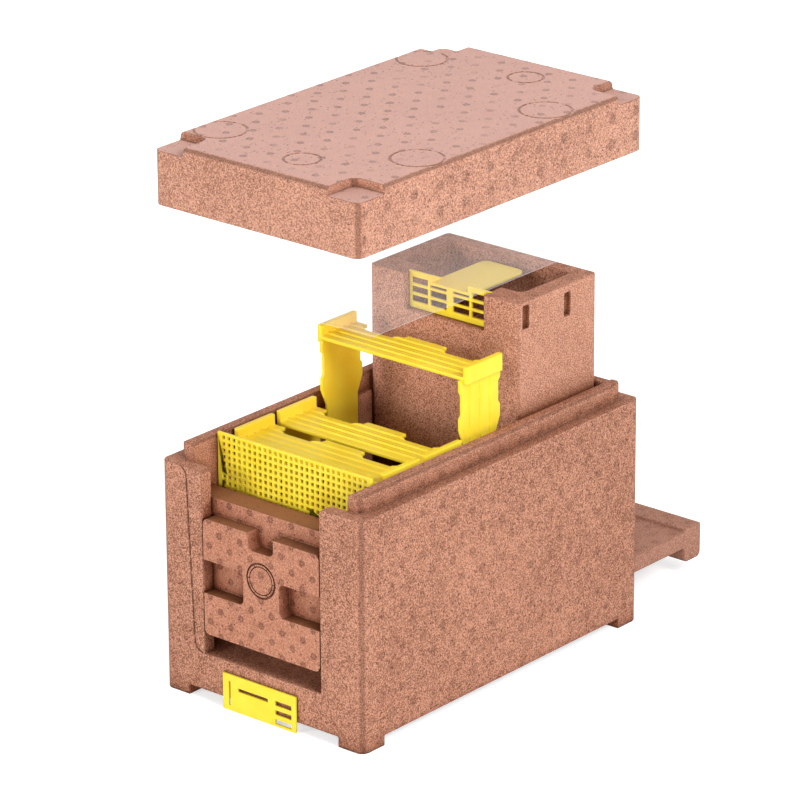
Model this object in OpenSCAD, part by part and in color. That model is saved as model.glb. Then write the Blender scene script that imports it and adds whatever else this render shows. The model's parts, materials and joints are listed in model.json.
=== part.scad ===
// Foam nucleus box for a small bee colony: body, lid, cover sheet, feeder, three frames,
// entrance parts and floor slide. The lid, sheet, feeder and third frame stand raised above
// their places and the floor slide is drawn out at the back.

/* [Box] */
// Width across the front
body_w = 145; // [138:1:160]
// Length from the front face to the rear face
body_l = 241; // [236:1:270]
// Height of the shoulder that carries the lid
shoulder_h = 136; // [130:1:150]
// Radius of the upright outer corners
corner_r = 5; // [3:0.5:7]
// Height of the corner feet
foot_h = 6; // [4:0.5:9]
// Side of each square foot
foot_side = 18; // [14:1:24]
// Width of the shoulder outside the rim lip
shoulder_w = 7.3; // [6.5:0.1:9]
// Width of the rim lip
lip_w = 9.2; // [8.5:0.1:10]
// Height of the rim lip above the shoulder
lip_h = 10; // [8:0.5:10.2]
// Radius of the rounded lip top
lip_r = 3; // [1:0.5:4]
// Thickness of the deck under the floor slide
deck_t = 11.5; // [9:0.5:13]
// Height of the entrance sill
sill_h = 28.3; // [27:0.1:32]
// Width of the ledge that carries the frame lugs
ledge_w = 3.5; // [3:0.5:5]
// Height of the rails that carry the feeder
feeder_rail_h = 3.4; // [2:0.2:6]

/* [Front] */
// Width of the front posts
post_w = 30; // [27:0.5:34]
// Thickness of the front posts
post_t = 8.2; // [7:0.2:10]
// Radius of the inner top corner of each post
post_r = 3; // [1:0.5:5]
// Thickness of the wide rear part of the door
door_back_t = 14.8; // [12:0.2:16]
// Height of the entrance slot under the door
entrance_h = 12; // [9:0.5:14]
// Height of the front relief of the door
relief_h = 68.6; // [64:0.2:72]
// Height of the door ledge above the relief
door_ledge_h = 9.5; // [7:0.5:11]
// Width of the notch at the top of the relief
notch_w = 18.4; // [14:0.2:22]
// Depth of that notch
notch_h = 10; // [7:0.5:12]
// Width of the web between the two finger pockets
web_w = 26; // [24:1:34]
// Height of the pocket floor above the door bottom
pocket_rise = 24.4; // [20:0.2:26]
// Height of the finger pockets
pocket_h = 19.8; // [16:0.2:22]
// Corner radius of the notch and pockets
pocket_r = 3.5; // [2:0.5:5]
// Diameter of the ring groove on the door
door_ring_d = 21; // [16:0.5:23]
// Distance from the opening to the upper end of the post seam
seam_high = 11.3; // [9:0.1:13]
// Distance from the opening to the lower end of the post seam
seam_low = 7.2; // [5:0.1:9]
// Radius of the bends of the seam
seam_r = 6; // [4:0.5:7]

/* [Vent grid] */
// Distance from the door to the vent grid
grid_back = 4.6; // [3:0.2:6]
// Thickness of the vent grid
grid_t = 1.6; // [1.2:0.1:2.4]
// Height of the vent grid
grid_h = 48; // [44:1:60]
// Height of the vent grid above the shoulder
grid_proud = 12; // [10:0.5:13]
// Pitch of the grid holes
grid_pitch = 3.8; // [3.5:0.1:4.4]
// Side of the square grid holes
grid_hole = 2.2; // [1.6:0.1:2.6]

/* [Frames] */
// Distance between frame centres
frame_pitch = 35; // [35:0.2:36]
// Gap between the vent grid and the first frame
frame_front = 8.3; // [5:0.1:12]
// Gap between the side bars and the side walls
hang_gap = 1.5; // [1.2:0.1:2]
// Width of the top bar plate
bar_w = 31.5; // [30:0.5:32]
// Thickness of the top bar plate
bar_t = 2; // [1.6:0.1:3]
// Height of the lugs
lug_h = 10.2; // [8:0.2:10.4]
// Width of the lugs along the ledge
lug_w = 31; // [28:0.5:31]
// Height of the plate above the ledge
bar_rise = 2; // [1:0.2:4]
// Height of the ridges on the plate
ridge_h = 0.8; // [0.4:0.1:1.5]
// Number of ridges on the plate
ridge_n = 4; // [2:1:5]
// Length of each bee way cut in the rear edge of the plate
scallop_l = 30; // [22:1:32]
// Depth of those cuts
scallop_d = 7.5; // [5:0.5:9]
// Thickness of the side bars
side_t = 1.8; // [1.4:0.1:2.4]
// Length of the side bars
side_l = 98; // [90:1:100]
// Width of the side bars at their shoulders
side_w = 34.4; // [32:0.2:34.6]
// Depth of the hollows above the shoulders
side_waist = 1.6; // [0.8:0.1:2.4]
// Width of the side bars below the shoulder
side_low_w = 26; // [22:0.5:29]
// Height of the ribs on the side bars
side_rib = 0.8; // [0.4:0.1:1]

/* [Feeder] */
// Gap between the feeder and the side walls
feeder_gap = 2; // [1:0.2:3]
// Gap between the last frame and the feeder
feeder_space = 12.6; // [8:0.2:16]
// Thickness of the feeder front wall
feeder_front = 16; // [13:0.5:18]
// Thickness of the feeder rear wall
feeder_rear = 9.2; // [7:0.2:11]
// Thickness of the feeder end walls
feeder_side = 11; // [8:0.5:12]
// Thickness of the feeder floor
feeder_floor = 9; // [7:0.5:13]
// Depth of the cut in the feeder front for the grille
grille_drop = 21.5; // [18:0.5:24]
// Width of the grille between its edges
grille_w = 57; // [55:0.5:62]
// Distance of the grille behind the feeder front
grille_set = 5; // [3:0.5:8]
// Thickness of the grille sheet
grille_t = 1.6; // [1.2:0.1:2.4]
// Length of a grille slot
slot_l = 12; // [10:0.5:12.5]
// Height of a grille slot
slot_h = 3.8; // [3:0.1:4]
// Width of the bar in the middle of the grille
grille_bar = 4.4; // [3:0.2:5]
// Height of the strip above the grille slots
grille_strip = 3.3; // [2.5:0.1:4]
// Distance of the grille tongue below the top of the grille
tongue_drop = 4; // [3:0.1:4.4]
// Gap between the end of the grille tongue and the feeder rear wall
tongue_gap = 5.4; // [5:0.2:14]
// Length of the webs beside the root of the tongue
web_l = 10.7; // [6:0.1:14]
// Width of the grille tongue
tongue_w = 29.5; // [24:0.5:32]
// Height of the hand notches in the feeder ends
hand_h = 13.5; // [10:0.5:18]
// Width of the hand notches
hand_w = 5.5; // [5:0.5:8]
// Depth of the hand notches
hand_d = 3.6; // [2:0.2:4]

/* [Floor slide] */
// Thickness of the handle block
handle_t = 16; // [13:0.5:16.2]
// Height of the handle block below the deck top
handle_drop = 9; // [6:0.5:10]
// Step from the board up to the handle top
handle_step = 1.8; // [1:0.1:2.4]
// Radius of the lower edge of the handle
handle_r = 4; // [2:0.5:5]

/* [Lid and sheet] */
// Height of the lid
lid_h = 36; // [32:1:44]
// Depth of the hollow in the lid
lid_hollow = 16; // [15:0.5:20]
// Radius of the upper edges of the lid
lid_edge_r = 3.5; // [1:0.5:4]
// Side of the corner notches
corner_notch = 21.5; // [16:0.5:26]
// Depth of the corner notches
corner_drop = 5; // [3:0.5:7]
// Inner radius of the corner notches
notch_r = 6; // [2:0.5:7]
// Diameter of the ring marks on the lid
mark_d = 30; // [24:1:36]
// Diameter of the small rings on the lid
ring_d = 21; // [16:0.5:26]
// Width of the ring grooves
groove_w = 1; // [0.6:0.1:1.2]
// Depth of the ring grooves
groove_d = 0.9; // [0.3:0.1:1]
// Gap between the cover sheet and the lid skirt at the rear
film_gap = 2.5; // [2:0.1:5]
// Gap between the cover sheet and the planes of the side walls
film_side = 2.5; // [1:0.1:5]
// Gap between the cover sheet and the vent grid
film_front = 3; // [2:0.2:8]
// Thickness of the cover sheet
film_t = 0.5; // [0.4:0.1:1]

/* [Closer] */
// Length of the entrance closer
closer_l = 53; // [48:1:60]
// Height of the entrance closer
closer_h = 21.4; // [19:0.2:25]
// Thickness of the entrance closer
closer_t = 1.5; // [1.2:0.1:2.5]
// Distance of the closer centre to the left of the box centre
closer_left = 1.3; // [0:0.1:10]
// Width of solid sheet round the slots
closer_edge = 4; // [3:0.2:5]
// Width of the upright slot
closer_upright = 1.4; // [1:0.1:2]
// Length of the long slot
closer_long = 22; // [16:0.5:23]
// Length of the three short slots
closer_short = 12; // [8:0.5:13]
// Height of a short slot
closer_slot = 2.9; // [2:0.1:3.2]
// Distance between the short slots
closer_pitch = 5.5; // [5:0.1:6]

/* [Places] */
// Height of the lid above its seat
lid_lift = 147; // [135:1:180]
// Height of the cover sheet above its seat
film_lift = 80; // [74:1:90]
// Height of the feeder above its seat
feeder_lift = 65; // [50:1:70]
// Height of the third frame above its seat
frame_lift = 41; // [20:1:48]
// Distance the floor slide is drawn out
floor_out = 82; // [40:1:120]

/* [Fits] */
// Clearance of a piece that slides
slide_gap = 0.4; // [0.3:0.1:0.6]
// Clearance of a piece that rests on its seat
seat_gap = 0.2; // [0.1:0.1:0.3]

/* [Hidden] */
$fn = 48;
overrun = 1;
half_share = 0.5;
slot_share = 0.75;
stamp_share = 0.8;
hand_shares = [0.05, 0.58];
// Heights of the ear, the waist, the shoulder, the taper and the end cut of a side bar
side_shares = [0.07, 0.09, 0.21, 0.23, 0.3, 0.4, 0.95];
body_color = [0.62, 0.33, 0.26];
plastic_color = [0.96, 0.78, 0.08];
film_color = [0.9, 0.9, 0.88];

wall_t = shoulder_w + lip_w;
in_w = body_w - 2 * wall_t;
brood_w = in_w - 2 * ledge_w;
opening_w = body_w - 2 * post_w;
bar_l = brood_w - 2 * hang_gap;
feeder_w = in_w - 2 * feeder_gap;
film_w = in_w - 2 * film_side;

front_y = seat_gap + closer_t - (seat_gap + closer_t + body_l + floor_out) / 2;
rear_y = front_y + body_l;
rear_in_y = rear_y - wall_t;
post_back_y = front_y + post_t;
door_front_y = post_back_y + slide_gap;
door_back_y = door_front_y + door_back_t;
grid_y = door_back_y + grid_back;
step_y = grid_y + grid_t + slide_gap;
frame_y = [for (i = [0:2]) step_y + frame_front + side_w / 2 + i * frame_pitch];
feeder_y = frame_y[2] + side_w / 2 + feeder_space;
feeder_d = rear_in_y - slide_gap - feeder_y;
rail_y = feeder_y - slide_gap;
tongue_l = feeder_d - grille_set - feeder_rear - tongue_gap;
film_y = grid_y + grid_t + film_front;
film_l = rear_y - shoulder_w - film_gap - film_y;
frame_z = [0, 0, frame_lift];

deck_z = foot_h + deck_t;
board_top = sill_h - seat_gap;
board_t = board_top - deck_z - seat_gap;
rail_z = sill_h + seat_gap;
feeder_rail_z = rail_z + feeder_rail_h;
lip_z = shoulder_h + lip_h;
lug_z = shoulder_h + seat_gap;
bar_z = lug_z + bar_rise;
film_z = lug_z + lug_h + 2 * seat_gap;
feeder_h = film_z - seat_gap - feeder_rail_z - seat_gap;
grid_top = shoulder_h + grid_proud;
grid_z = grid_top - grid_h;
handle_top = board_top + handle_step;

door_z = sill_h + entrance_h;
relief_z = door_z + relief_h;

// Rectangle with rounded corners, from its lower left corner
module round_rect(w, h, r) {
    translate([r, 0]) square([w - 2 * r, h]);
    translate([0, r]) square([w, h - 2 * r]);
    for (x = [r, w - r], y = [r, h - r]) translate([x, y]) circle(r);
}

// Rectangle with its two upper corners rounded
module round_top(w, h, r) {
    square([w, h - r]);
    translate([r, 0]) square([w - 2 * r, h]);
    for (x = [r, w - r]) translate([x, h - r]) circle(r);
}

// Upright prism on an outline seen from above
module upright(z, h) translate([0, 0, z]) linear_extrude(h) children();

// Prism on an outline seen from the front, running back from y
module backward(y, l) translate([0, y + l, 0]) rotate([90, 0, 0]) linear_extrude(l) children();

// Prism on an outline seen from the right, running right from x
module rightward(x, l) translate([x, 0, 0]) rotate([90, 0, 90]) linear_extrude(l) children();

// Box centred on the middle of the set, between two depths and two heights
module block(w, y0, y1, z0, z1) translate([-w / 2, y0, z0]) cube([w, y1 - y0, z1 - z0]);

// Both sides of the middle plane
module both_sides() {
    children();
    mirror([1, 0, 0]) children();
}

module ring_groove(d, w, depth) difference() {
    cylinder(d = d, h = depth);
    translate([0, 0, -overrun]) cylinder(d = d - 2 * w, h = depth + 2 * overrun);
}

// Ring with a thin ring inside it and six short marks between the two
module stamp_groove(d, depth) {
    thin = groove_w * half_share;
    ring_groove(d, groove_w, depth);
    ring_groove(d * stamp_share, thin, depth);
    for (turn = [0:60:300]) rotate(turn)
        translate([d * stamp_share / 2 - thin / 2, -thin / 2, 0])
            cube([d * (1 - stamp_share) / 2, thin, depth]);
}

module lip_outline() difference() {
    translate([-body_w / 2 + shoulder_w, post_back_y])
        round_rect(body_w - 2 * shoulder_w, body_l - post_t - shoulder_w, lip_w / 2);
    translate([-in_w / 2, post_back_y + lip_w / 2])
        square([in_w, rear_in_y - post_back_y - lip_w / 2]);
    translate([-in_w / 2, post_back_y - overrun]) square([in_w, lip_w]);
}

module lip() {
    both_sides() intersection() {
        upright(shoulder_h - lip_h, 2 * lip_h) lip_outline();
        backward(post_back_y, rear_y - shoulder_w - post_back_y)
            translate([in_w / 2, shoulder_h - lip_h]) round_top(lip_w, 2 * lip_h, lip_r);
    }
    intersection() {
        upright(shoulder_h - lip_h, 2 * lip_h) lip_outline();
        rightward(-body_w / 2, body_w)
            translate([rear_in_y, shoulder_h - lip_h]) round_top(lip_w, 2 * lip_h, lip_r);
    }
}

module front_opening() {
    block(opening_w, front_y - overrun, post_back_y + overrun, sill_h, shoulder_h - post_r);
    difference() {
        block(opening_w + 2 * post_r, front_y - overrun, post_back_y + overrun,
              shoulder_h - post_r - overrun, lip_z);
        both_sides() backward(front_y - 2 * overrun, post_t + 4 * overrun)
            translate([opening_w / 2 + post_r, shoulder_h - post_r]) circle(post_r);
        both_sides() translate([opening_w / 2, front_y - 2 * overrun, sill_h])
            cube([2 * post_r, post_t + 4 * overrun, shoulder_h - post_r - sill_h]);
    }
}

// Quarter ring from straight up to straight right of its centre
module seam_bend() intersection() {
    difference() {
        circle(seam_r + groove_w / 2);
        circle(seam_r - groove_w / 2);
    }
    square(seam_r + groove_w);
}

// Thin seam that runs down the left post from the shoulder to the entrance
module post_seam() {
    top_x = -opening_w / 2 - seam_high;
    low_x = -opening_w / 2 - seam_low;
    w = groove_w / 2;
    backward(front_y - overrun, groove_d + overrun) {
        translate([top_x - seam_r, shoulder_h - seam_r]) seam_bend();
        polygon([[top_x - w, shoulder_h - seam_r], [top_x + w, shoulder_h - seam_r],
                 [low_x + w, sill_h + seam_r], [low_x - w, sill_h + seam_r]]);
        translate([low_x + seam_r, sill_h + seam_r]) rotate(180) seam_bend();
    }
}

module body() color(body_color) difference() {
    union() {
        upright(foot_h, shoulder_h - foot_h) translate([-body_w / 2, front_y])
            round_rect(body_w, body_l, corner_r);
        both_sides() for (y = [front_y, rear_y - foot_side])
            upright(0, foot_h + overrun) intersection() {
                translate([body_w / 2 - foot_side, y]) square(foot_side);
                translate([-body_w / 2, front_y]) round_rect(body_w, body_l, corner_r);
            }
        lip();
    }
    front_opening();
    post_seam();
    // Vestibule behind the posts, with a seat for the grid
    block(in_w, post_back_y, step_y - grid_t - 2 * slide_gap, sill_h, grid_z);
    block(in_w, post_back_y, step_y, grid_z - seat_gap, lip_z + overrun);
    // Brood space between the ledges
    block(brood_w, step_y - grid_t - 4 * slide_gap, rail_y + overrun, sill_h - overrun, lip_z);
    block(in_w, step_y - overrun, rear_in_y, shoulder_h, lip_z + overrun);
    // Feeder bay with its rails
    block(in_w, rail_y, rear_in_y, feeder_rail_z, lip_z);
    block(brood_w, rail_y, rear_in_y, sill_h - overrun, feeder_rail_z + overrun);
    // Way of the floor slide
    block(in_w, door_back_y, rear_in_y + overrun, deck_z, rail_z);
    block(in_w, rear_in_y, rear_y + overrun, foot_h - overrun, handle_top + seat_gap);
}

module lid_shell() intersection() {
    upright(0, lid_h) translate([-body_w / 2, front_y]) round_rect(body_w, body_l, corner_r);
    backward(front_y, body_l) translate([-body_w / 2, 0]) round_top(body_w, lid_h, lid_edge_r);
    rightward(-body_w / 2, body_w) translate([front_y, 0]) round_top(body_l, lid_h, lid_edge_r);
}

module lid() {
    skirt = shoulder_w - slide_gap;
    mark_x = body_w / 2 - mark_d * half_share - groove_w;
    long_marks = body_l * half_share - corner_notch - mark_d * half_share;
    cross_marks = long_marks - mark_d;
    ring_x = ring_d * half_share;
    ring_y = body_l * half_share - corner_notch - ring_d / 4;
    color(body_color) translate([0, 0, shoulder_h + seat_gap + lid_lift]) difference() {
        lid_shell();
        upright(-overrun, lid_hollow + overrun) translate([skirt - body_w / 2, front_y + skirt])
            round_rect(body_w - 2 * skirt, body_l - 2 * skirt, corner_r);
        both_sides() for (y = [front_y - corner_notch, rear_y - corner_notch])
            upright(lid_h - corner_drop, lid_h) translate([body_w / 2 - corner_notch, y])
                round_rect(2 * corner_notch, 2 * corner_notch, notch_r);
        for (s = [-1, 1]) {
            translate([-mark_x, (front_y + rear_y) / 2 + s * long_marks, lid_h - groove_d])
                ring_groove(mark_d, groove_w, lid_h);
            translate([mark_x, (front_y + rear_y) / 2 + s * cross_marks, lid_h - groove_d])
                ring_groove(mark_d, groove_w, lid_h);
            translate([ring_x, (front_y + rear_y) / 2 + s * ring_y, lid_h - groove_d])
                stamp_groove(ring_d, lid_h);
        }
    }
}

module cover_film() color(film_color)
    upright(film_z + film_lift, film_t)
        translate([-film_w / 2, film_y]) square([film_w, film_l]);

module hand_notch(y, z) translate([feeder_w / 2 - hand_d, y, z])
    cube([hand_d + overrun, hand_w, hand_h]);

module feeder_tub() {
    base = feeder_rail_z + seat_gap + feeder_lift;
    top = base + feeder_h;
    color(body_color) difference() {
        upright(base, feeder_h) translate([-feeder_w / 2, feeder_y])
            round_rect(feeder_w, feeder_d, corner_r * half_share);
        upright(base + feeder_floor, feeder_h)
            translate([feeder_side - feeder_w / 2, feeder_y + feeder_front])
                round_rect(feeder_w - 2 * feeder_side, feeder_d - feeder_front - feeder_rear,
                           corner_r);
        block(grille_w, feeder_y - overrun, feeder_y + feeder_front + overrun,
              top - grille_drop, top + overrun);
        block(grille_w + 2 * grille_t, feeder_y + grille_set - seat_gap,
              feeder_y + grille_set + grille_t + seat_gap,
              top - grille_drop - seat_gap, top + overrun);
        both_sides() {
            hand_notch(feeder_y + feeder_d * hand_shares[0], top - hand_h - corner_r * half_share);
            hand_notch(feeder_y + feeder_d * hand_shares[1], top - hand_h - corner_r);
        }
    }
}

module feeder_grille() {
    front = feeder_y + grille_set;
    top = feeder_rail_z + seat_gap + feeder_lift + feeder_h;
    tongue_z = top - tongue_drop - grille_t;
    inner_x = grille_bar / 2;
    outer_x = inner_x + slot_l + grille_t;
    pitch_z = slot_h + grille_t;
    color(plastic_color) {
        difference() {
            block(grille_w + 2 * grille_t - 2 * seat_gap, front, front + grille_t,
                  top - grille_drop, top);
            both_sides() for (x = [inner_x, outer_x], j = [0:2])
                translate([x, front - overrun, top - grille_strip - slot_h - j * pitch_z])
                    cube([slot_l, grille_t + 2 * overrun, slot_h]);
            block(tongue_w, front - overrun, front + grille_t + overrun,
                  tongue_z + grille_t, top + overrun);
        }
        difference() {
            upright(tongue_z, grille_t) translate([-tongue_w / 2, front])
                round_rect(tongue_w, tongue_l, corner_r);
            block(tongue_w, front - overrun, front, tongue_z - overrun, top);
        }
        block(tongue_w, front, front + corner_r + overrun, tongue_z, tongue_z + grille_t);
        both_sides() rightward(tongue_w / 2 - grille_t, grille_t)
            polygon([[front, tongue_z], [front + web_l, tongue_z], [front + web_l, tongue_z + grille_t],
                     [front + grille_t, top], [front, top]]);
    }
}

module front_grid() {
    cols = floor((in_w - 4 * slide_gap - grid_pitch) / grid_pitch);
    rows = floor((grid_h - grid_pitch) / grid_pitch);
    color(plastic_color) difference() {
        block(in_w - 2 * slide_gap, grid_y, grid_y + grid_t, grid_z, grid_top);
        for (i = [0:cols - 1], j = [0:rows - 1])
            translate([(i - (cols - 1) / 2) * grid_pitch - grid_hole / 2, grid_y - overrun,
                       grid_top - grid_pitch - j * grid_pitch])
                cube([grid_hole, grid_t + 2 * overrun, grid_hole]);
    }
}

module relief_outline() {
    relief_w = opening_w - 2 * slide_gap;
    difference() {
        translate([-relief_w / 2, door_z]) round_rect(relief_w, relief_h, pocket_r);
        translate([-notch_w / 2, relief_z - notch_h])
            round_rect(notch_w, notch_h + 2 * pocket_r, pocket_r);
        both_sides() translate([web_w / 2, door_z + pocket_rise])
            round_rect(relief_w, pocket_h, pocket_r);
    }
}

module entrance_door() color(body_color) difference() {
    union() {
        block(in_w - 2 * slide_gap, door_front_y, door_back_y, door_z, relief_z + door_ledge_h);
        backward(front_y, post_t + 2 * slide_gap) relief_outline();
    }
    translate([0, front_y + groove_d, door_z + pocket_rise + pocket_h - pocket_r * half_share])
        rotate([90, 0, 0]) stamp_groove(door_ring_d, groove_d + overrun);
}

module entrance_closer() {
    depth = closer_t + 2 * overrun;
    color(plastic_color) translate([-closer_left - closer_l / 2, front_y - seat_gap - closer_t, 0])
        difference() {
            cube([closer_l, closer_t, closer_h]);
            translate([closer_edge, -overrun, closer_slot])
                cube([closer_upright, depth, closer_h - closer_slot - closer_edge]);
            translate([2 * closer_edge + closer_slot, -overrun, closer_edge + 3 * closer_slot])
                cube([closer_long, depth, closer_slot * slot_share]);
            for (j = [0:2])
                translate([closer_l - closer_slot - closer_short, -overrun,
                           closer_upright + j * closer_pitch])
                    cube([closer_short, depth, closer_slot]);
        }
}

module floor_slide() {
    slide_w = in_w - 2 * slide_gap;
    color(body_color) translate([0, floor_out, 0]) {
        block(slide_w, door_back_y + slide_gap, rear_y - handle_t + overrun,
              deck_z + seat_gap, board_top);
        rightward(-slide_w / 2, slide_w) translate([rear_y, 0]) mirror([1, 0]) {
            translate([0, deck_z - handle_drop])
                round_rect(handle_t, handle_top - deck_z + handle_drop, handle_r);
            translate([0, deck_z]) square([handle_t, handle_top - deck_z]);
        }
    }
}

module top_bar(i) translate([0, frame_y[i], frame_z[i]]) color(plastic_color) {
    difference() {
        union() {
            block(bar_l, -bar_w / 2, bar_w / 2, bar_z, bar_z + bar_t);
            for (j = [0:ridge_n - 1])
                translate([0, (j - (ridge_n - 1) / 2) * bar_w / (ridge_n + 1), 0])
                    block(bar_l, -bar_t / 2, bar_t / 2, bar_z, bar_z + bar_t + ridge_h);
        }
        both_sides() upright(bar_z - overrun, bar_t + ridge_h + 2 * overrun)
            translate([bar_l / 2 - 2 * ledge_w - scallop_l, bar_w / 2 - scallop_d])
                round_rect(scallop_l, 2 * scallop_d, scallop_d - overrun);
    }
    both_sides() upright(lug_z, lug_h) translate([bar_l / 2, -lug_w / 2])
        round_rect(ledge_w, lug_w, ledge_w / 3);
}

// Side bar seen from the right, with its top edge on the top bar plate
module side_outline() {
    w = side_w / 2;
    low = side_low_w / 2;
    z = [for (share = side_shares) bar_z - side_l * share];
    end_cut = side_l * (1 - side_shares[6]);
    half = [[w, bar_z], [w, z[0]], [w - side_waist, z[1]], [w - side_waist, z[2]], [w, z[3]],
            [w, z[4]], [low, z[5]], [low, z[6]], [low - end_cut, bar_z - side_l]];
    other = [for (i = [len(half) - 1:-1:0]) [-half[i][0], half[i][1]]];
    polygon(concat(half, other));
}

module side_bar(i, side) translate([0, frame_y[i], frame_z[i]]) color(plastic_color)
    mirror([side < 0 ? 1 : 0, 0, 0]) {
        rightward(bar_l / 2 - side_t, side_t) side_outline();
        for (y = [-1, 0, 1] * side_low_w / 3)
            translate([bar_l / 2 - side_t / 2, y - side_rib, bar_z - side_l * side_shares[6]])
                cube([side_t / 2 + side_rib, 2 * side_rib, side_l * side_shares[6] - bar_rise]);
    }

module frame_1_top_bar() top_bar(0);
module frame_1_left_side_bar() side_bar(0, -1);
module frame_1_right_side_bar() side_bar(0, 1);
module frame_2_top_bar() top_bar(1);
module frame_2_left_side_bar() side_bar(1, -1);
module frame_2_right_side_bar() side_bar(1, 1);
module frame_3_top_bar() top_bar(2);
module frame_3_left_side_bar() side_bar(2, -1);
module frame_3_right_side_bar() side_bar(2, 1);

body();
lid();
cover_film();
feeder_tub();
feeder_grille();
front_grid();
entrance_door();
entrance_closer();
floor_slide();
frame_1_top_bar();
frame_1_left_side_bar();
frame_1_right_side_bar();
frame_2_top_bar();
frame_2_left_side_bar();
frame_2_right_side_bar();
frame_3_top_bar();
frame_3_left_side_bar();
frame_3_right_side_bar();
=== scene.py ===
"""Looks of a foam nuc box: bead foam, yellow moulded plastic and a clear cover sheet."""
import json
import math
from collections import namedtuple

import bmesh
import bpy
from mathutils import Matrix, Vector


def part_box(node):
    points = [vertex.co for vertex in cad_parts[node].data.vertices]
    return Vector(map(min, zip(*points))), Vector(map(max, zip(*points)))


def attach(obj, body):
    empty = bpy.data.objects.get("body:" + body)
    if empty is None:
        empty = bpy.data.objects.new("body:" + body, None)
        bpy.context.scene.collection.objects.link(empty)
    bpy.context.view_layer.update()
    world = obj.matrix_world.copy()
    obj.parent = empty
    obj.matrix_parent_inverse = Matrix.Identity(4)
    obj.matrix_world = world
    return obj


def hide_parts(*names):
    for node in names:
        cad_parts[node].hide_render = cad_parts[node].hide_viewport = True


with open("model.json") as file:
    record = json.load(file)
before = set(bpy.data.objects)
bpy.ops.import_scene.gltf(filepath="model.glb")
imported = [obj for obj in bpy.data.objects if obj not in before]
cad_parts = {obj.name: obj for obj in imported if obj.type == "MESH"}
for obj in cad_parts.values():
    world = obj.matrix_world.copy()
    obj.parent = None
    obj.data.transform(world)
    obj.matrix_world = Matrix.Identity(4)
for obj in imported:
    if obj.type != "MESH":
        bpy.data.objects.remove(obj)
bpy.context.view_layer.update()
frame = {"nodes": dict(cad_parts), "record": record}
MM = 0.001
BODY_OF = {
    node: body
    for body, nodes in frame["record"]["behaviour"]["bodies"].items()
    for node in nodes
}


def rgba(red, green, blue):
    return (red, green, blue, 1.0)


def scaled(colour, share):
    return rgba(*(share * level for level in colour[:3]))


def add_object(name, data):
    """A new object in the scene."""
    thing = bpy.data.objects.new(name, data)
    bpy.context.collection.objects.link(thing)
    return thing


class Nodes:
    """Short calls for building the node tree of a material or a world."""

    def __init__(self, owner):
        owner.use_nodes = True
        self.tree = owner.node_tree

    def add(self, kind, **values):
        node = self.tree.nodes.new("ShaderNode" + kind)
        for key, value in values.items():
            setattr(node, key, value)
        return node

    def link(self, source, target):
        self.tree.links.new(source, target)

    def feed(self, socket, value):
        """Links a socket to another one, or sets its value."""
        if isinstance(value, bpy.types.NodeSocket):
            self.link(value, socket)
        else:
            socket.default_value = value

    def surface(self, name, value):
        """Feeds an input of a material's main shader."""
        self.feed(self.tree.nodes["Principled BSDF"].inputs[name], value)

    def split(self, kind, value):
        """The parts of a vector or a colour."""
        node = self.add(kind)
        self.link(value, node.inputs[0])
        return node.outputs

    def math(self, operation, a, b=0.0, c=0.0):
        node = self.add("Math", operation=operation)
        for socket, value in zip(node.inputs, (a, b, c)):
            self.feed(socket, value)
        return node.outputs[0]

    def ramp(self, value, low, high, smooth=True):
        """Rises from 0 to 1 between two values."""
        node = self.add("MapRange", interpolation_type="SMOOTHSTEP" if smooth else "LINEAR")
        self.feed(node.inputs["Value"], value)
        node.inputs["From Min"].default_value = low
        node.inputs["From Max"].default_value = high
        return node.outputs["Result"]

    def fade(self, value, low, high):
        """Falls from 1 to 0 between two values."""
        return self.math("SUBTRACT", 1.0, self.ramp(value, low, high))

    def between(self, value, low, high):
        """Stretches a value from 0 to 1 over a range."""
        return self.math("MULTIPLY_ADD", value, high - low, low)

    def mix(self, factor, a, b, blend="MIX"):
        node = self.add("Mix", data_type="RGBA", blend_type=blend)
        self.feed(node.inputs["Factor"], factor)
        self.feed(node.inputs[6], a)
        self.feed(node.inputs[7], b)
        return node.outputs[2]

    def tint(self, base, tone, amount, share, blend="MIX"):
        """Mixes a share of a tone into a colour, by an amount from 0 to 1."""
        return self.mix(self.math("MULTIPLY", amount, share), base, tone, blend)

    def noise(self, coords, scale, detail=2.0, roughness=0.5):
        node = self.add("TexNoise")
        self.link(coords, node.inputs["Vector"])
        node.inputs["Scale"].default_value = scale
        node.inputs["Detail"].default_value = detail
        node.inputs["Roughness"].default_value = roughness
        return node.outputs["Fac"]

    def bump(self, height, distance, strength):
        node = self.add("Bump")
        self.link(height, node.inputs["Height"])
        node.inputs["Distance"].default_value = distance
        node.inputs["Strength"].default_value = strength
        return node.outputs["Normal"]


# Noise scales count waves per metre; a pair is a range, or a bump's height and strength
Flecks = namedtuple("Flecks", "size spread channel chosen share")
PaintedShade = namedtuple("PaintedShade", "reach shut share tone blend")
Vents = namedtuple("Vents", "strength pitch row_height shift radius worn")
Top = namedtuple("Top", "tone share sheen")

# Bead foam: grain, beads and pits
GRAIN = 0.7 * MM
GRAIN_ROUGHNESS = 0.65
TONE_SCALES = 160.0, 24.0
TONE_SHIFT = -0.06, 0.06
TONE_RANGE = 0.40, 0.60
BEADS = Flecks(1.9 * MM, spread=(0.15, 0.4), channel=1, chosen=(0.72, 0.80), share=0.5)
BEAD_GAIN = 1.3
PITS = Flecks(2.2 * MM, spread=(0.14, 0.32), channel=0, chosen=(0.74, 0.80), share=0.85)
PIT_DEPTH = 0.8
FOAM_ROUGHNESS = 0.5, 0.8
FOAM_SPECULAR = 0.12
FOAM_BUMP = 0.5 * MM, 0.5
SHEEN_ROUGHNESS = 0.5

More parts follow.
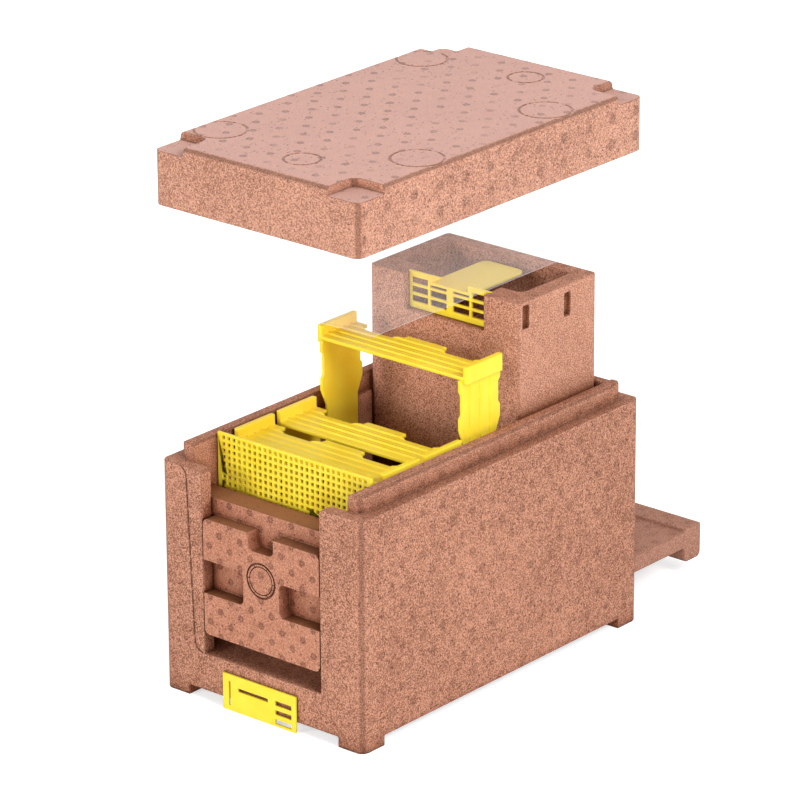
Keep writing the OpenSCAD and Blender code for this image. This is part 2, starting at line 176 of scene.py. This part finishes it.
# Bead foam: vent rosettes
VENT_TONE = rgba(0.11, 0.036, 0.022)
VENT_PETALS = 7
PETAL_DEPTH = 0.3
VENT_MIDDLE = 0.55
MIDDLE_SHARE = 0.5
VENT_RIM = 0.6
RAGGED_SCALE = 900.0
RAGGED = -0.3, 0.3
WEAR_SCALE = 55.0
WEAR_RANGE = 0.34, 0.56

# Bead foam: faces square to an axis, faces that turn at an edge, and painted shade in creases and
# wide hollows
SQUARE = 0.9, 0.98
TURNED = 0.01, 0.18
EDGE_SHADE = 0.5
OCCLUSION_SAMPLES = 4
HOLLOW_OPEN = 0.95
# Painted shade: creases and wide hollows get a darker colour where ambient occlusion finds them
# shut in
CREVICE_SHADE = PaintedShade(2.0 * MM, 0.45, 0.8, rgba(0.045, 0.014, 0.005), "MIX")
WIDE_HOLLOW_SHADE = PaintedShade(15.0 * MM, 0.3, 1.0, rgba(0.38, 0.22, 0.12), "MULTIPLY")


def flecks(n, coords, kind):
    """Round flecks in some of the cells of a given size, from 0 to 1."""
    cells = n.add("TexVoronoi")
    n.link(coords, cells.inputs["Vector"])
    cells.inputs["Scale"].default_value = 1 / kind.size
    colour = n.split("SeparateColor", cells.outputs["Color"])
    spots = n.fade(cells.outputs["Distance"], *kind.spread)
    return n.math("MULTIPLY", spots, n.ramp(colour[kind.channel], *kind.chosen))


def vent_marks(n, coords, axis, vents):
    """Rows of rosettes left by steam vents on the plane square to an axis, from 0 to 1."""

    def from_middle(value, pitch):
        return n.math("SUBTRACT", n.math("FLOORED_MODULO", value, pitch), pitch / 2)

    place = n.split("SeparateXYZ", coords)
    u, v = (place[other] for other in "XYZ" if other != axis)
    row = n.math("FLOOR", n.math("DIVIDE", v, vents.row_height))
    odd = n.math("FLOORED_MODULO", row, 2.0)
    shifted = n.math("MULTIPLY_ADD", odd, vents.shift * vents.pitch, u)
    du, dv = from_middle(shifted, vents.pitch), from_middle(v, vents.row_height)
    radius = n.math("SQRT", n.math("ADD", n.math("MULTIPLY", du, du), n.math("MULTIPLY", dv, dv)))
    ragged = n.between(n.noise(coords, RAGGED_SCALE), *RAGGED)
    radius = n.math("MULTIPLY_ADD", ragged, vents.radius, radius)
    middle = n.fade(radius, 0.0, vents.radius * VENT_MIDDLE)
    spot = n.fade(radius, vents.radius * VENT_RIM, vents.radius)
    spot = n.math("MULTIPLY", spot, n.between(middle, 1.0, 1.0 - MIDDLE_SHARE))
    turn = n.math("MULTIPLY", n.math("ARCTAN2", dv, du), VENT_PETALS)
    petals = n.math("MULTIPLY_ADD", n.math("COSINE", turn), PETAL_DEPTH, 1.0 - PETAL_DEPTH)
    worn = n.fade(n.noise(coords, WEAR_SCALE), *WEAR_RANGE)
    kept = n.between(worn, 1.0, 1.0 - vents.worn)
    return n.math("MULTIPLY", n.math("MULTIPLY", spot, petals), kept)


def foam(name, light, dark, vents, edge, hollow_shade=1.0, top=None):
    """Bead foam: a fine two-tone grain, bright beads, dark pits, vent rosettes, edges, painted
    shade in creases and hollows, and a painted tone on upward faces.

    vents gives the rosettes of the faces square to each axis, edge how dark turned edges are,
    hollow_shade how dark the painted shade in wide hollows is, and top the tone painted on upward
    faces, with its sheen.
    """
    material = bpy.data.materials.new(name)
    n = Nodes(material)
    texture = n.add("TexCoord")
    coords = texture.outputs["Object"]
    facing = n.split("SeparateXYZ", texture.outputs["Normal"])
    squareness = {axis: n.math("ABSOLUTE", facing[axis]) for axis in "XYZ"}
    grain = n.noise(coords, 1 / GRAIN, roughness=GRAIN_ROUGHNESS)
    tone = grain
    for scale in TONE_SCALES:
        tone = n.math("ADD", tone, n.between(n.noise(coords, scale), *TONE_SHIFT))
    base = n.mix(n.ramp(tone, *TONE_RANGE, smooth=False), dark, light)
    base = n.tint(base, scaled(light, BEAD_GAIN), flecks(n, coords, BEADS), BEADS.share)
    # Upward faces: a lighter, pinker painted reflection on the lid, and darker painted shade on
    # the door
    if top:
        base = n.tint(base, top.tone, n.ramp(facing["Z"], *SQUARE), top.share)
        n.surface("Sheen Weight", top.sheen)
        n.surface("Sheen Roughness", SHEEN_ROUGHNESS)
    pits = flecks(n, coords, PITS)
    base = n.tint(base, VENT_TONE, pits, PITS.share)
    for axis, layout in vents.items():
        square = n.ramp(squareness[axis], *SQUARE)
        marks = n.math("MULTIPLY", vent_marks(n, coords, axis, layout), square)
        base = n.tint(base, VENT_TONE, marks, layout.strength)
    flattest = n.math("MAXIMUM", squareness["X"], squareness["Y"])
    flattest = n.math("MAXIMUM", flattest, squareness["Z"])
    turned = n.ramp(n.math("SUBTRACT", 1.0, flattest), *TURNED)
    base = n.tint(base, scaled(dark, EDGE_SHADE), turned, edge)
    # Painted shade in creases and wide hollows, from ambient occlusion
    for shade_layer, share in (CREVICE_SHADE, 1.0), (WIDE_HOLLOW_SHADE, hollow_shade):
        shade = n.add("AmbientOcclusion", samples=OCCLUSION_SAMPLES)
        shade.inputs["Distance"].default_value = shade_layer.reach
        shut = n.fade(shade.outputs["AO"], shade_layer.shut, HOLLOW_OPEN)
        base = n.tint(base, shade_layer.tone, shut, shade_layer.share * share, shade_layer.blend)
    n.surface("Base Color", base)
    n.surface("Roughness", n.between(grain, *FOAM_ROUGHNESS))
    n.surface("Specular IOR Level", FOAM_SPECULAR)
    relief = n.math("SUBTRACT", grain, n.math("MULTIPLY", pits, PIT_DEPTH))
    n.surface("Normal", n.bump(relief, *FOAM_BUMP))
    return material


# Yellow plastic
YELLOW_TONES = rgba(0.96, 0.675, 0.04), rgba(0.98, 0.725, 0.06)
CLOUD_SCALE, CLOUD_DETAIL = 60.0, 3.0
CLOUD_RANGE = 0.3, 0.7
MOULD_SCALE = 1500.0
MOULD_BUMP = 0.08 * MM, 0.25
YELLOW_ROUGHNESS = 0.24, 0.42
YELLOW_SPECULAR = 0.2
YELLOW_SUBSURFACE = 0.6
SUBSURFACE_RADIUS = 1.0, 0.8, 0.12
SUBSURFACE_SCALE = 3.0 * MM


def yellow_plastic(name):
    """Bright moulded plastic with a faint mould grain and a little light passing through."""
    material = bpy.data.materials.new(name)
    n = Nodes(material)
    coords = n.add("TexCoord").outputs["Object"]
    cloud = n.noise(coords, CLOUD_SCALE, CLOUD_DETAIL)
    grain = n.noise(coords, MOULD_SCALE)
    n.surface("Base Color", n.mix(n.ramp(cloud, *CLOUD_RANGE), *YELLOW_TONES))
    n.surface("Roughness", n.between(grain, *YELLOW_ROUGHNESS))
    n.surface("Specular IOR Level", YELLOW_SPECULAR)
    n.surface("Subsurface Weight", YELLOW_SUBSURFACE)
    n.surface("Subsurface Radius", SUBSURFACE_RADIUS)
    n.surface("Subsurface Scale", SUBSURFACE_SCALE)
    n.surface("Normal", n.bump(grain, *MOULD_BUMP))
    return material


# Clear sheet: its opacity is given at the cut edges and on the flat
SHEET_TONES = rgba(0.97, 0.97, 0.97), rgba(1.0, 1.0, 1.0)
SHEET_ALPHA = 0.28, 0.12
SHEET_LEVEL = 0.3, 0.7
SHEET_ROUGHNESS = 0.08, 0.20
HAZE_SCALE = 14.0
SHEET_BUMP = 0.4 * MM, 0.2


def clear_sheet(name):
    """Thin clear sheet with a slight uneven haze and a whiter cut edge."""
    material = bpy.data.materials.new(name)
    n = Nodes(material)
    texture = n.add("TexCoord")
    facing = n.split("SeparateXYZ", texture.outputs["Normal"])
    level = n.ramp(n.math("ABSOLUTE", facing["Z"]), *SHEET_LEVEL)
    haze = n.noise(texture.outputs["Object"], HAZE_SCALE)
    n.surface("Base Color", n.mix(haze, *SHEET_TONES))
    n.surface("Roughness", n.between(haze, *SHEET_ROUGHNESS))
    n.surface("Alpha", n.between(level, *SHEET_ALPHA))
    n.surface("Normal", n.bump(haze, *SHEET_BUMP))
    return material


# Light and dark tone of each foam, its vents on the faces square to an axis, and the tone painted
# on its upward faces: a painted reflection on the lid, painted shade on the door
BODY_TONES = rgba(0.60, 0.293, 0.192), rgba(0.205, 0.079, 0.045)
LID_TONES = rgba(0.665, 0.345, 0.235), rgba(0.28, 0.112, 0.066)
DOOR_TONES = rgba(0.57, 0.265, 0.17), rgba(0.34, 0.135, 0.08)
SLIDE_TONES = rgba(0.465, 0.235, 0.165), rgba(0.255, 0.115, 0.075)
BODY_VENTS = {"X": Vents(0.5, 17 * MM, 12 * MM, shift=0.5, radius=3.2 * MM, worn=0.4)}
LID_VENTS = {
    "X": Vents(0.7, 21 * MM, 14.3 * MM, shift=0.0, radius=3.6 * MM, worn=0.6),
    "Z": Vents(0.85, 17 * MM, 12 * MM, shift=0.5, radius=2.6 * MM, worn=0.75),
}
DOOR_VENTS = {"Y": Vents(0.9, 15 * MM, 7.5 * MM, shift=0.5, radius=2.6 * MM, worn=0.15)}
FLAT_VENTS = {"Z": Vents(0.4, 17 * MM, 8 * MM, shift=0.5, radius=3.0 * MM, worn=0.3)}
# Painted reflection on the lid's top, with a real sheen, and painted shade on the door's upward
# faces
LID_TOP_REFLECTION = Top(rgba(0.64, 0.35, 0.30), share=0.6, sheen=0.2)
DOOR_TOP_SHADE = Top(rgba(0.22, 0.095, 0.036), share=0.75, sheen=0.0)
FOAM = {
    "body": foam("foam_body", *BODY_TONES, BODY_VENTS, edge=0.5),
    "lid": foam("foam_lid", *LID_TONES, LID_VENTS, edge=0.65, hollow_shade=0.4, top=LID_TOP_REFLECTION),
    "feeder_tub": foam("foam_feeder", *LID_TONES, FLAT_VENTS, edge=0.3),
    "entrance_door": foam("foam_door", *DOOR_TONES, DOOR_VENTS, edge=0.3, top=DOOR_TOP_SHADE),
    "floor_slide": foam("foam_floor", *SLIDE_TONES, FLAT_VENTS, edge=0.3),
}
YELLOW = yellow_plastic("plastic_yellow")
SHEET = clear_sheet("sheet_clear")

# Moulded edges: foam and top bars are rounded through small voxels, thin plates by a bevel
VOXELS = {
    "body": 0.4 * MM,
    "lid": 0.5 * MM,
    "feeder_tub": 0.6 * MM,
    "entrance_door": 0.2 * MM,
    "floor_slide": 0.7 * MM,
    "frame_1_top_bar": 0.35 * MM,
    "frame_2_top_bar": 0.35 * MM,
    "frame_3_top_bar": 0.35 * MM,
}
SMOOTHING_SHARE = 0.5
SMOOTHING_ROUNDS = 2
KEPT_SHARE = 0.04
WELD = 0.002 * MM
FLAT_ANGLE = math.radians(1.0)
PLATE_BEVEL = 0.2 * MM
BEVEL_SEGMENTS = 2
BEVEL_ANGLE = math.radians(40)


def take_place(piece, node):
    """Puts a piece in the place of a CAD node, on the same body."""
    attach(piece, BODY_OF[node])
    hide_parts(node)


def welded_copy(node, material):
    """A copy of a CAD node with its points joined, to be rounded."""
    mesh = frame["nodes"][node].data.copy()
    mesh.materials.clear()
    mesh.materials.append(material)
    work = bmesh.new()
    work.from_mesh(mesh)
    bmesh.ops.remove_doubles(work, verts=work.verts, dist=WELD)
    if node not in VOXELS:
        bmesh.ops.dissolve_limit(work, angle_limit=FLAT_ANGLE, verts=work.verts, edges=work.edges)
    work.to_mesh(mesh)
    work.free()
    return add_object(node + "_rounded", mesh)


def round_by_voxels(piece, voxel):
    """Softens every edge of a piece and keeps its flat faces flat."""
    blocks = piece.modifiers.new("voxels", "REMESH")
    blocks.mode = "VOXEL"
    blocks.voxel_size = voxel
    soft = piece.modifiers.new("soft edges", "SMOOTH")
    soft.factor = SMOOTHING_SHARE
    soft.iterations = SMOOTHING_ROUNDS
    fewer = piece.modifiers.new("fewer faces", "DECIMATE")
    fewer.ratio = KEPT_SHARE
    shape = piece.evaluated_get(bpy.context.evaluated_depsgraph_get())
    mesh = bpy.data.meshes.new_from_object(shape)
    piece.modifiers.clear()
    piece.data = mesh


def round_by_bevel(piece):
    """Rounds the edges of a thin plate."""
    bevel = piece.modifiers.new("rounding", "BEVEL")
    bevel.width = PLATE_BEVEL
    bevel.segments = BEVEL_SEGMENTS
    bevel.limit_method = "ANGLE"
    bevel.angle_limit = BEVEL_ANGLE
    bevel.use_clamp_overlap = False


def dress(node, material):
    """Puts a piece with rounded edges in the place of a CAD node."""
    piece = welded_copy(node, material)
    if node not in VOXELS:
        round_by_bevel(piece)
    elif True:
        round_by_voxels(piece, VOXELS[node])
    piece.data.polygons.foreach_set("use_smooth", [True] * len(piece.data.polygons))
    level = piece.modifiers.new("level faces", "WEIGHTED_NORMAL")
    level.mode = "FACE_AREA"
    take_place(piece, node)


# Cover sheet: a thin film with gentle waves, which rise from the underside of its solid
FILM_THICKNESS = 0.3 * MM
FILM_STEP = 4.0 * MM
FILM_WAVE = 0.35 * MM
FILM_WAVE_LENGTHS = 80.0 * MM, 130.0 * MM


def film_sheet(node):
    """Puts a closed thin sheet in the place of the film's CAD node."""
    low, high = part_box(node)
    width, length = high[0] - low[0], high[1] - low[1]
    columns, rows = round(width / FILM_STEP), round(length / FILM_STEP)
    work = bmesh.new()

    def layer(offset):
        points = {}
        for i in range(columns + 1):
            for j in range(rows + 1):
                x, y = width * i / columns, length * j / rows
                across = math.sin(math.tau * x / FILM_WAVE_LENGTHS[0])
                along = math.cos(math.tau * y / FILM_WAVE_LENGTHS[1])
                rise = FILM_WAVE * (1 + across * along) / 2
                height = low[2] + FILM_THICKNESS / 2 + rise + offset
                points[i, j] = work.verts.new((low[0] + x, low[1] + y, height))
        return points

    over, under = layer(FILM_THICKNESS / 2), layer(-FILM_THICKNESS / 2)
    for i in range(columns):
        for j in range(rows):
            square = (i, j), (i + 1, j), (i + 1, j + 1), (i, j + 1)
            work.faces.new([over[place] for place in square])
            work.faces.new([under[place] for place in reversed(square)])
    rim = [(i, 0) for i in range(columns)] + [(columns, j) for j in range(rows)]
    rim += [(i, rows) for i in range(columns, 0, -1)] + [(0, j) for j in range(rows, 0, -1)]
    for here, there in zip(rim, rim[1:] + rim[:1]):
        work.faces.new((under[here], under[there], over[there], over[here]))
    mesh = bpy.data.meshes.new(node + "_sheet")
    work.to_mesh(mesh)
    work.free()
    mesh.materials.append(SHEET)
    piece = add_object(node + "_sheet", mesh)
    take_place(piece, node)


for node in frame["nodes"]:
    if node == "cover_film":
        film_sheet(node)
    else:
        dress(node, FOAM.get(node, YELLOW))

# Studio: a pale floor, a soft dome and six large lamps, in metres and watts
STUDIO_SIZE = 30.0
STUDIO_TONE = rgba(0.72, 0.72, 0.72)
STUDIO_FADE = 0.3, 1.5
STUDIO_GLOW = 0.60, 0.90
DOME_TONE = rgba(1.0, 1.0, 1.0)
DOME_LEVEL = 0.3, 1.0
Lamp = namedtuple("Lamp", "name place size power")
AIM = (0.0, -0.04, 0.15)
LAMPS = (
    Lamp("key_front", (-0.8, -2.0, 0.75), 0.7, 20.0),
    Lamp("fill_low", (1.4, -1.6, 0.35), 0.6, 18.0),
    Lamp("fill_high", (1.6, -0.3, 1.4), 0.8, 28.0),
    Lamp("back_right", (0.5, 2.1, 0.7), 0.7, 14.0),
    Lamp("back_left", (-2.1, 0.2, 0.7), 0.7, 14.0),
    Lamp("top", (0.0, -0.1, 1.8), 0.6, 4.5),
)


def seen(n, *rays):
    """1 for the rays of the camera and of reflections, and 0 for the light on the object."""
    path = n.add("LightPath")
    total = path.outputs["Is Camera Ray"]
    for ray in rays:
        total = n.math("MAXIMUM", total, path.outputs[ray])
    return total


def studio_floor():
    """A floor that looks paler far out and keeps the object's shadow."""
    bpy.ops.mesh.primitive_plane_add(size=STUDIO_SIZE, location=(0, 0, 0))
    floor = bpy.context.object
    floor.name = "studio_floor"
    material = bpy.data.materials.new("floor_white")
    n = Nodes(material)
    n.tree.nodes.remove(n.tree.nodes["Principled BSDF"])
    diffuse = n.add("BsdfDiffuse")
    diffuse.inputs["Color"].default_value = STUDIO_TONE
    distance = n.add("VectorMath", operation="LENGTH")
    n.link(n.add("TexCoord").outputs["Object"], distance.inputs[0])
    white = n.between(n.ramp(distance.outputs["Value"], *STUDIO_FADE), *STUDIO_GLOW)
    looked_at = seen(n, "Is Glossy Ray", "Is Transmission Ray")
    glow = n.add("Emission")
    n.link(n.math("MULTIPLY", looked_at, white), glow.inputs["Strength"])
    total = n.add("AddShader")
    n.link(diffuse.outputs[0], total.inputs[0])
    n.link(glow.outputs[0], total.inputs[1])
    n.link(total.outputs[0], n.tree.nodes["Material Output"].inputs["Surface"])
    floor.data.materials.append(material)


def studio_world():
    """A soft white dome that lights the object less than it shows."""
    world = bpy.data.worlds.new("studio")
    bpy.context.scene.world = world
    n = Nodes(world)
    background = n.tree.nodes["Background"]
    background.inputs["Color"].default_value = DOME_TONE
    level = n.between(seen(n, "Is Glossy Ray"), *DOME_LEVEL)
    n.link(level, background.inputs["Strength"])


def add_lamp(lamp):
    """A square lamp turned to the object."""
    data = bpy.data.lights.new(lamp.name, "AREA")
    data.size = lamp.size
    data.energy = lamp.power
    thing = add_object(lamp.name, data)
    thing.location = lamp.place
    way = Vector(AIM) - Vector(lamp.place)
    thing.rotation_euler = way.to_track_quat("-Z", "Y").to_euler()


studio_floor()
studio_world()
for lamp in LAMPS:
    add_lamp(lamp)

# Camera, from the photograph's viewing angle
AZIMUTH, ELEVATION, ROLL = math.radians(40.47), math.radians(20.96), math.radians(-0.35)
DISTANCE = 2.828
SIDE, RISE = -2.9 * MM, 142.4 * MM
FOCAL_PIXELS = 5000
IMAGE_PIXELS = 800
SENSOR_WIDTH = 36.0
CLIP_END = 100.0


def photo_camera():
    """The camera, placed from the middle of the body's footprint."""
    low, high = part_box("body")
    middle = Vector(((low[0] + high[0]) / 2, (low[1] + high[1]) / 2, 0.0))
    reach = math.cos(ELEVATION)
    back = Vector((math.sin(AZIMUTH) * reach, -math.cos(AZIMUTH) * reach, math.sin(ELEVATION)))
    right = Vector((math.cos(AZIMUTH), math.sin(AZIMUTH), 0.0))
    up = back.cross(right)
    turned = Matrix.Rotation(ROLL, 3, back)
    right, up = turned @ right, turned @ up
    data = bpy.data.cameras.new("photo_camera")
    data.sensor_width = SENSOR_WIDTH
    data.lens = FOCAL_PIXELS * SENSOR_WIDTH / IMAGE_PIXELS
    data.clip_end = CLIP_END
    camera = add_object("photo_camera", data)
    place = middle + right * SIDE + up * RISE + back * DISTANCE
    axes = Matrix((right, up, back)).transposed().to_4x4()
    camera.matrix_world = Matrix.Translation(place) @ axes
    bpy.context.scene.camera = camera


photo_camera()
bpy.context.scene.view_settings.view_transform = "Standard"

bpy.context.view_layer.update()
